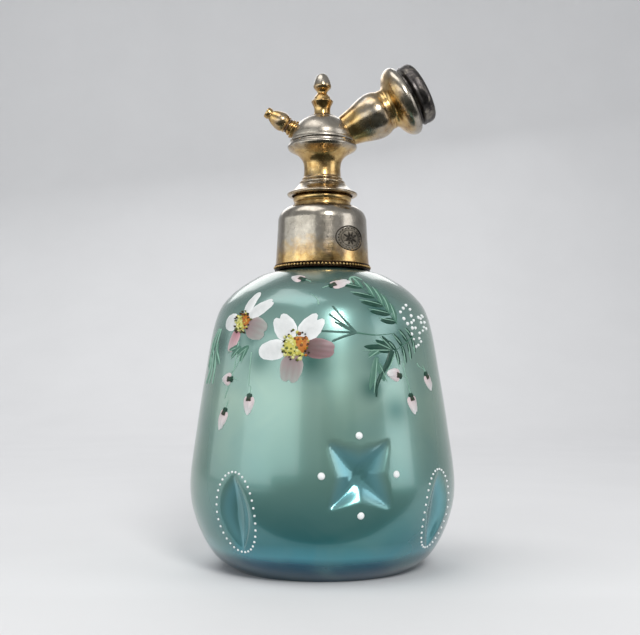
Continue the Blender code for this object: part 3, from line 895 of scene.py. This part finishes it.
def make_enamel():
    body = Turned(BODY_OUTLINE, dented=True)
    rng = random.Random(11)
    flowers, leaves, dots = Relief(body), Relief(body), Relief(body)
    flower(flowers, (-43.5, 71.5), FIRST_FLOWER, 0.88, rng)
    flower(flowers, (-12.5, 64.5), SECOND_FLOWER, 1.18, rng)
    for place, heading, length in BUDS:
        bud(flowers, leaves, place, heading, length)
    paint_right_spray(leaves)
    paint_left_spray(leaves)
    paint_twigs(leaves)
    paint_dots(dots, rng)
    for name, relief, rough in (
        ("enamel_flowers", flowers, 0.42),
        ("enamel_leaves", leaves, 0.5),
        ("enamel_dots", dots, 0.35),
    ):
        relief.make(name, enamel(name, rough), "bottle")


# Neck ------------
COLLAR_BEND = 5.0
COLLAR_CENTRE = (COLLAR_TOP_R - COLLAR_BEND, COLLAR_TOP_Z - COLLAR_BEND)
COLLAR_WALL = 0.6
BUSH_R = 8.9
BUSH_BORE_R = 7.5
BEAD_COUNT = 84
BEAD_R = 0.40
BEAD_CIRCLE_R = 14.42
HEAD_PITCH = 1
FINIAL_PITCH = 0.7
TIP_PITCH = 0.5
THREAD_DEPTH = 0.06
FINE_THREAD_DEPTH = 0.04


def collar_side():
    """The collar's outside, from its foot to its mouth."""
    return [(COLLAR_FOOT_R, COLLAR_FOOT_Z), (14, 93), *arc(*COLLAR_CENTRE, COLLAR_BEND, 0, 83, 24)]


def make_collar():
    inner = arc(*COLLAR_CENTRE, COLLAR_BEND - COLLAR_WALL, 80, 0, 16)
    mouth = [(BUSH_R + 0.1, COLLAR_TOP_Z - 0.1), (BUSH_R + 0.1, COLLAR_TOP_Z - COLLAR_WALL)]
    outline = [(COLLAR_FOOT_R - COLLAR_WALL, COLLAR_FOOT_Z), *collar_side(), *mouth, *inner]
    bands = [(89.8, 0.10), (92.5, 0.30), (95.5, 0.62), (99.5, 0.88), (104, 0.98), (108.2, 0.90)]
    metal = worn_metal("collar_plate", bands, 0.22, 0.20, 0.9)
    turned("collar_shell", outline, metal, "bottle", ease=0.1, replaces=["collar"], slot="silver_plate")


def make_cartouche():
    """A stamped oval with a plain eight-petalled rosette and a beaded border in it."""
    side = Turned(collar_side())
    relief, field = Relief(side), Relief(side, sunk=-0.2)
    place, half_wide, half_tall = (37, 97), 4.9, 3.6
    plain = (0, 0, 0)

    def oval(scale, count):
        turns = [2 * math.pi * k / count for k in range(count)]
        return [(scale * half_wide * math.cos(a), scale * half_tall * math.sin(a)) for a in turns]

    for scale, width, lift in ((1, 0.40, 0.20), (0.66, 0.22, 0.12)):
        line = oval(scale, 36)
        relief.stroke(place, [*line, line[0]], width, lift, plain, taper=False)
    for spot in oval(0.83, 22):
        relief.dot(place, 0.24, 0.16, plain, *spot)
    for k in range(8):
        length = 1.7 if k % 4 in (1, 2) else 2.2
        relief.petal(place, 22.5 + 45 * k, 0.45, length, 0.85, 0.20, plain, plain, 0.8)
    relief.dot(place, 0.5, 0.26, plain)
    dark = dark_metal("cartouche_patina", (0.050, 0.044, 0.036), (0.30, 0.25, 0.18))
    relief.make("cartouche", dark, "bottle", slot="silver_plate")
    field.dot(place, half_tall - 0.05, 0.07, plain, stretch=half_wide / half_tall)
    shaded = dark_metal("cartouche_field", (0.16, 0.14, 0.11), (0.36, 0.32, 0.26))
    field.make("cartouche_field", shaded, "bottle", slot="silver_plate")


def make_bead_ring():
    low, high = SHOULDER_Z + 0.3, COLLAR_FOOT_Z - 0.05
    middle = (low + high) / 2
    outline = [
        (13.2, low), (14.5, low), (14.55, low + 0.2), (14.2, low + 0.35), (14.1, middle),
        (14.2, high - 0.35), (14.5, high - 0.2), (14.45, high), (13.2, high),
    ]
    dark = dark_metal("ring_patina", (0.035, 0.020, 0.012), (0.16, 0.09, 0.04))
    turned("bead_band", outline, dark, "bottle", ease=0.06, replaces=["bead_ring"], slot="gilt_brass")
    bm = bmesh.new()
    for k in range(BEAD_COUNT):
        turn = 2 * math.pi * k / BEAD_COUNT
        centre = Vector((BEAD_CIRCLE_R * math.sin(turn), -BEAD_CIRCLE_R * math.cos(turn), middle))
        place = Matrix.Translation(centre * MM)
        bmesh.ops.create_uvsphere(bm, u_segments=12, v_segments=8, radius=BEAD_R * MM, matrix=place)
    gilt = worn_metal("bead_gilt", [(88, 0.1), (90.5, 0.2)], 0.35, 0.25, 0)
    finish_piece("beads", mesh_of("beads", bm), gilt, "bottle", slot="gilt_brass")


def threaded(radius, low, high, pitch, depth):
    """Bends a turned surface into a screw thread between two heights."""

    def bend(angle, r, z):
        if abs(r - radius) > 0.02 or not low < z < high:
            return r
        phase = (z / pitch - angle / 360.0) % 1.0
        edge = min(1.0, (z - low) / 0.6, (high - z) / 0.6)
        return r + depth * edge * (1.0 - abs(2.0 * phase - 1.0) * 2.0)

    return bend


def column(radius, low, high, step=0.1):
    """Closely spaced points up a cylinder's wall, for a thread to bend."""
    count = int(abs(high - low) / step)
    return [(radius, low + (high - low) * k / count) for k in range(count + 1)]


def make_neck_band():
    inner = BUSH_R - 0.25
    outline = [*column(BUSH_BORE_R, 111.75, 104.9), (11.2, 104.9), (11.2, 105.7)]
    outline += [(inner, 105.7), (inner, 109), *arc(BUSH_R - 1.5, 110.3, 1.5, -45, 45, 12)]
    outline.append((BUSH_R - 0.5, 111.75))
    gilt = worn_metal("neck_gilt", [(104, 0.15), (109, 0.05), (112, 0.2)], 0.25, 0.2, 0.5)
    thread = threaded(BUSH_BORE_R, 105.3, 111.4, HEAD_PITCH, THREAD_DEPTH)
    turned(
        "neck_band", outline, gilt, "bottle", ease=0, bend=thread, replaces=["neck_bush"], slot="gilt_brass"
    )


# Head ------------
PLUG_R = 7.2
STEM_R = 1.6  # the threaded stems of finial and nozzle
ARM_JOINT = 22.66  # where the bell meets the arm, along the arm


def make_head():
    rim = [(10.2, 111.35), *arc(10.32, 111.78, 0.42, -80, 60, 8)]
    steps = smooth([(10.2, 112.3), (9.2, 112.85), (8.1, 113.75), (7.35, 114.7)], 4) + [(7.05, 114.75)]
    beads = arc(6.45, 115.3, 0.5, -70, 80, 8) + [(6.3, 115.85), *arc(5.75, 116.5, 0.42, -60, 80, 8)]
    waist = [
        (5.72, 117.2), (5.6, 118.6), (5.6, 120.2), (5.85, 121.7), (6.6, 123.1), (8, 124.4), (10.2, 125.6),
    ]
    flange = [(10.62, 126.2), (10.66, 126.5), (10.5, 127), (10.15, 127.15), (10.1, 127.6), (9.85, 127.9)]
    passage = [
        (8.7, 127.9), (8.7, 126.6), (5.6, 126.6), (5.6, 125.2),
        (3.8, 125.2), (3.8, 111.2), (6, 111.2), (6, 105),
    ]
    plug = [*column(PLUG_R, 105, 112.7), (9.3, 112.7), (9.3, 111.3)]
    outline = softened([*rim, *steps, *beads, *smooth(waist, 8), *flange, *passage], 0.05) + plug
    bands = [
        (105, 0.2), (110.9, 0.3), (112, 0.72), (115, 0.62), (116.6, 0.42),
        (118, 0.14), (124.2, 0.06), (125.7, 0.55), (126.8, 0.92),
    ]
    metal = worn_metal("head_plate", bands, 0.60, 0.2, 0.6)
    thread = threaded(PLUG_R, 105.4, 111.8, HEAD_PITCH, THREAD_DEPTH)
    turned(
        "spray_head", outline, metal, "head", ease=0, bend=thread, replaces=["head_body"], slot="gilt_brass"
    )


def make_dome():
    outer = arc(0, DOME_SPRING_Z, 9.5, 8, 62, 22, 7.6)
    inner = arc(0, DOME_SPRING_Z, 8.9, 64, 4, 16, 6.8)
    rim = [(8.9, 128.05), (9.8, 128.05), (9.9, 128.4), (9.8, 128.9), (9.35, 129.05), (9.4, 129.5)]
    cap = [(4.55, 135.75), (4.3, 135.95), (3.9, 136), (3.6, 136.15), (3, 136.15)]
    bore = [(3, 135.2), (1.75, 135.2), (1.75, 132.3), (3.6, 132.3), (3.6, 134.9)]
    bands = [(127.9, 0.85), (129.5, 0.95), (134, 0.92), (136.3, 0.70)]
    metal = worn_metal("dome_plate", bands, 0.50, 0.27, 0.9)
    outline = [*rim, *outer[1:], *cap, *bore, *inner]
    turned("dome_cover", outline, metal, "head", ease=0.08, replaces=["dome"], slot="silver_plate")


def make_finial():
    knob = [
        (2.6, 136.6), (2.48, 137.4), (2.5, 138.4), (2.75, 139.3), (3.15, 140.1), (3.36, 140.6), (3.2, 141),
        (2.75, 141.25), (2.5, 141.9), (2, 142.6), (1.6, 143.15), (1.55, 143.6), (1.9, 144.2), (2.45, 144.7),
        (2.74, 145.35), (2.66, 146.1), (2.4, 147.1), (2, 148.1), (1.4, 149), (0.6, 149.5),
    ]
    socket = [(0, 132.2), (1.15, 132.2), (1.15, 131.1), (0.75, 131.1), (0.75, 130.7)]
    outline = [*socket, *column(STEM_R, 130.7, 136.6), *smooth(knob, 5), (0, 149.6)]
    bands = [
        (130, 0.2), (137, 0.30), (138.6, 0.05), (140.2, 0.38), (142, 0.25),
        (143.2, 0.05), (144.8, 0.42), (146.5, 0.80), (149.6, 0.95),
    ]
    metal = worn_metal("finial_plate", bands, 0.5, 0.2, 0.5)
    thread = threaded(STEM_R, 131.2, 135, FINIAL_PITCH, FINE_THREAD_DEPTH)
    turned(
        "finial_knob", outline, metal, "finial", UPRIGHT, SMALL_TURNED, 0, thread,
        replaces=["finial"], slot="gilt_brass",
    )


def make_nozzle():
    """The ribbed socket on the dome and the bulbous tip that screws onto it."""
    bands = [(7, 0.15), (13, 0.22), (15.5, 0.48), (18, 0.12), (20.5, 0.2)]
    gilt = worn_metal("nozzle_gilt", bands, 0.5, 0.22)
    socket = [
        (1, 8.5), (2.75, 8.5), (2.75, 10), (2.95, 10.25), (2.95, 10.6), (2.35, 10.75), (2.25, 11),
        (2.6, 11.2), (2.6, 11.55), (2.25, 11.7), (2.3, 12), *column(STEM_R, 12, 14.2), (1, 14.2),
    ]
    thread = threaded(STEM_R, 12.3, 14, TIP_PITCH, FINE_THREAD_DEPTH)
    turned(
        "nozzle_socket", socket, gilt, "head", NOZZLE, SMALL_TURNED, 0, thread,
        replaces=["nozzle_base"], slot="gilt_brass",
    )
    bulb = [
        (2.42, 12.85), (2.58, 13.05), (2.4, 13.3), (2.68, 13.85),
        (2.88, 14.7), (2.8, 15.8), (2.35, 17.2), (1.85, 18.3),
    ]
    mouth = [(1.55, 18.6), (1.5, 19), (1.72, 19.2), (1.74, 19.8), (1.66, 20.4), (0.65, 20.4)]
    bore = [(0.65, 19.6), (1, 19.2), (1, 14.5), (1.75, 14.5), (1.75, 12.85)]
    turned(
        "nozzle_cap", [*smooth(bulb, 5), *mouth, *bore], gilt, "tip", NOZZLE, SMALL_TURNED, 0.05,
        replaces=["nozzle_tip"], slot="gilt_brass",
    )


def make_arm():
    """The tapered horn and the bell at its end."""
    horn = [
        (4.7, 7.6), (5.1, 9.6), (5.75, 12.2), (6.6, 14.8),
        (7.15, 17.2), (7.2, 18.8), (6.95, 20.2), (6.45, 21.3),
    ]
    inside = [(4.75, 18.6), (6.1, 17.6), (6, 15.4), (4.9, 11), (4.1, 7.6)]
    outline = [*smooth(horn, 6), (6.3, 22), (6.3, 22.6), (4.75, 22.6), *inside]
    bands = [(7, 0.05), (11.5, 0.20), (14, 0.55), (17, 0.70), (19.5, 0.62), (22.6, 0.10)]
    metal = worn_metal("arm_plate", bands, 0.60, 0.2, 0.5)
    turned("arm_horn", outline, metal, "head", ARM, ease=0.06, replaces=["bulb_arm"], slot="silver_plate")
    back = [
        (6.3, ARM_JOINT), (6.3, 23.3), (6.9, 24), (8.3, 24.7),
        (9.7, 25.6), (10.7, 26.8), (11, 27.8), (10.9, 28.6),
    ]
    outline = [*smooth(back, 6), (10.45, 29.25), (9.9, 29.6), (4.7, 29.6), (4.7, ARM_JOINT)]
    bands = [(22.6, 0.05), (24.6, 0.10), (26.2, 0.50), (28, 0.88), (29.6, 0.95)]
    metal = worn_metal("bell_plate", bands, 0.55, 0.2)
    turned("bell", outline, metal, "head", ARM, ease=0.06, replaces=["bulb_flange"], slot="gilt_brass")


def make_spigot():
    outline = [
        (1.9, 21.5), (3, 21.5), (3, 19.4), (4, 19.4), (4.4, 22.9), (4.4, 29.75), (7.6, 29.75),
        (7.6, 30.75), (9.15, 30.85), (9.6, 31.25), (9.45, 31.9), (9.6, 32.5),
        *arc(7.7, 33.2, 1.9, 0, 90, 14), (6.4, 35.1), (6.3, 35), (2.6, 35), (2.5, 35.1), (1.9, 35.1),
    ]
    plate = dark_metal("tarnished_plate", (0.075, 0.068, 0.066), (0.42, 0.38, 0.32))
    turned("spigot", outline, plate, "head", ARM, replaces=["bulb_spigot"], slot="tarnished_plate")


def make_pickup():
    """The dip tube, its rubber sleeve and the leather washer."""
    tube = [(0.95, 7), (1.55, 6), (1.75, 8), (1.75, 107.6), (0.95, 107.6)]
    sleeve, washer = ring(1.95, 2.7, 104.6, 110.6), ring(7.6, 8.9, 112, 112.4)
    for name, outline, material, body, segments, ease, node, slot in (
        ("glass_dip_tube", tube, clear_glass, "pickup", 48, 0.15, "dip_tube", "clear_glass"),
        ("rubber_sleeve", sleeve, rubber, "pickup", 48, 0.2, "dip_sleeve", "rubber"),
        ("head_washer", washer, leather, "gasket", TURNED, 0.12, "head_gasket", "leather"),
    ):
        turned(name, outline, material(), body, UPRIGHT, segments, ease, replaces=[node], slot=slot)


def dress_inner_nodes():
    """The small inner CAD nodes keep their shape and take detailed materials."""
    finishes = {
        bare_brass: ["valve_block", "valve_needle", "riser_tube", "liquid_jet", "valve_keeper"],
        leather: ["finial_packing", "nozzle_washer", "spigot_washer", "valve_disc"],
        cork: ["lip_gasket"],
        plaster: ["neck_cement"],
    }
    for make, names in finishes.items():
        material = make()
        for name in names:
            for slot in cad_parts[name].material_slots:
                slot.material = material


# Stage ------------
CAMERA_LENS = 57.4
CAMERA_PLACE = (-0.0007, -0.310, 0.0563)
CAMERA_PITCH = 3.3  # degrees above the horizon
FLOOR_REACH = 7.0  # metres, as all of the stage is
BEND_START, BEND_R = 0.55, 0.45
BACKDROP_TOP = 1.9


def make_stage():
    """A pale floor that sweeps up into a backdrop."""
    bends = np.linspace(0.1, 1.5, 12)
    sweep = [(-FLOOR_REACH, 0.0), (BEND_START, 0.0)]
    sweep += [(BEND_START + BEND_R * math.sin(a), BEND_R - BEND_R * math.cos(a)) for a in bends]
    sweep.append((BEND_START + BEND_R, BACKDROP_TOP))
    bm = bmesh.new()
    sides = [[bm.verts.new((x, y, z)) for y, z in sweep] for x in (-FLOOR_REACH, FLOOR_REACH)]
    for i in range(len(sweep) - 1):
        bm.faces.new((sides[0][i], sides[1][i], sides[1][i + 1], sides[0][i + 1]))
    mesh = mesh_of("floor", bm)
    mesh.shade_smooth()
    mesh.materials.append(floor_material())
    add_object("floor", mesh)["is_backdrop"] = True


def area_light(name, place, target, size, power, colour=(1.0, 1.0, 1.0)):
    """A softbox that the camera doesn't see."""
    light = bpy.data.lights.new(name, "AREA")
    light.shape = "RECTANGLE"
    light.size, light.size_y = size
    light.energy = power
    light.color = colour
    obj = add_object(name, light)
    obj.location = place
    obj.rotation_euler = (Vector(target) - Vector(place)).to_track_quat("-Z", "Y").to_euler()
    obj.visible_camera = False


def dark_card(name, place, size, upright=True):
    """A flag that only mirrors see, so that the metal and lustre have something dark to reflect."""
    bm = bmesh.new()
    bmesh.ops.create_grid(bm, x_segments=1, y_segments=1, size=0.5)
    bmesh.ops.scale(bm, vec=(*size, 1.0), verts=bm.verts)
    mesh = mesh_of(name, bm)
    card = Shader(name)
    card.set(Base_Color=(0.03, 0.035, 0.03, 1.0), Roughness=1.0)
    mesh.materials.append(card.material)
    obj = add_object(name, mesh)
    obj.location = place
    obj.rotation_euler.x = math.radians(90.0) if upright else 0.0
    for ray in ("camera", "diffuse", "shadow", "transmission", "volume_scatter"):
        setattr(obj, f"visible_{ray}", False)
    obj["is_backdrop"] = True


def make_lights():
    """Six softboxes, four dark cards and a grey sky; places and sizes in metres, power in watts."""
    middle, low = (0, 0, 0.07), (0, 0, 0.06)
    area_light("key", (0.19, -0.66, 0.50), middle, (0.20, 0.24), 3.2, (1, 0.99, 0.97))
    area_light("left", (-0.95, 0.02, 0.20), low, (0.70, 0.34), 0.7, (0.96, 1, 1))
    area_light("top", (-0.35, -0.22, 1), middle, (0.9, 0.5), 3.4, (1, 0.99, 0.98))
    area_light("window", (-0.62, -0.60, 0.22), low, (0.85, 0.34), 1.5, (0.97, 1, 0.99))
    area_light("fill", (0.80, -0.30, 0.30), middle, (0.4, 0.6), 1.3, (0.97, 0.98, 1))
    area_light("back", (-0.1, 0.8, 0.6), middle, (0.8, 0.4), 2)
    dark_card("floor_card", (0.10, -0.322, 0.001), (0.90, 0.556), upright=False)
    dark_card("middle_card", (0.05, -0.45, 0.30), (0.07, 0.40))
    dark_card("low_card", (0.10, -0.60, 0.055), (1.30, 0.11))
    dark_card("viewer_card", (0.16, -0.60, 0.22), (0.34, 0.30))
    world = bpy.data.worlds.new("studio")
    bpy.context.scene.world = world
    world.use_nodes = True
    sky = world.node_tree.nodes["Background"]
    sky.inputs["Color"].default_value = (0.80, 0.82, 0.84, 1.0)
    sky.inputs["Strength"].default_value = 0.50


def make_camera():
    camera = bpy.data.cameras.new("camera")
    camera.lens = CAMERA_LENS
    camera.sensor_width = 36.0
    obj = add_object("camera", camera)
    obj.location = CAMERA_PLACE
    obj.rotation_euler = (math.radians(90.0 + CAMERA_PITCH), 0.0, 0.0)
    camera.clip_start = 0.01
    bpy.context.scene.camera = obj


make_camera()
make_bottle()
make_enamel()
make_collar()
make_cartouche()
make_bead_ring()
make_neck_band()
make_head()
make_dome()
make_finial()
make_nozzle()
make_arm()
make_spigot()
make_pickup()
dress_inner_nodes()
make_stage()
make_lights()
bpy.context.scene.view_settings.view_transform = "Standard"

visual_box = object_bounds()
for corners in (cad_box, visual_box):
    json.dumps([list(corner) for corner in corners])
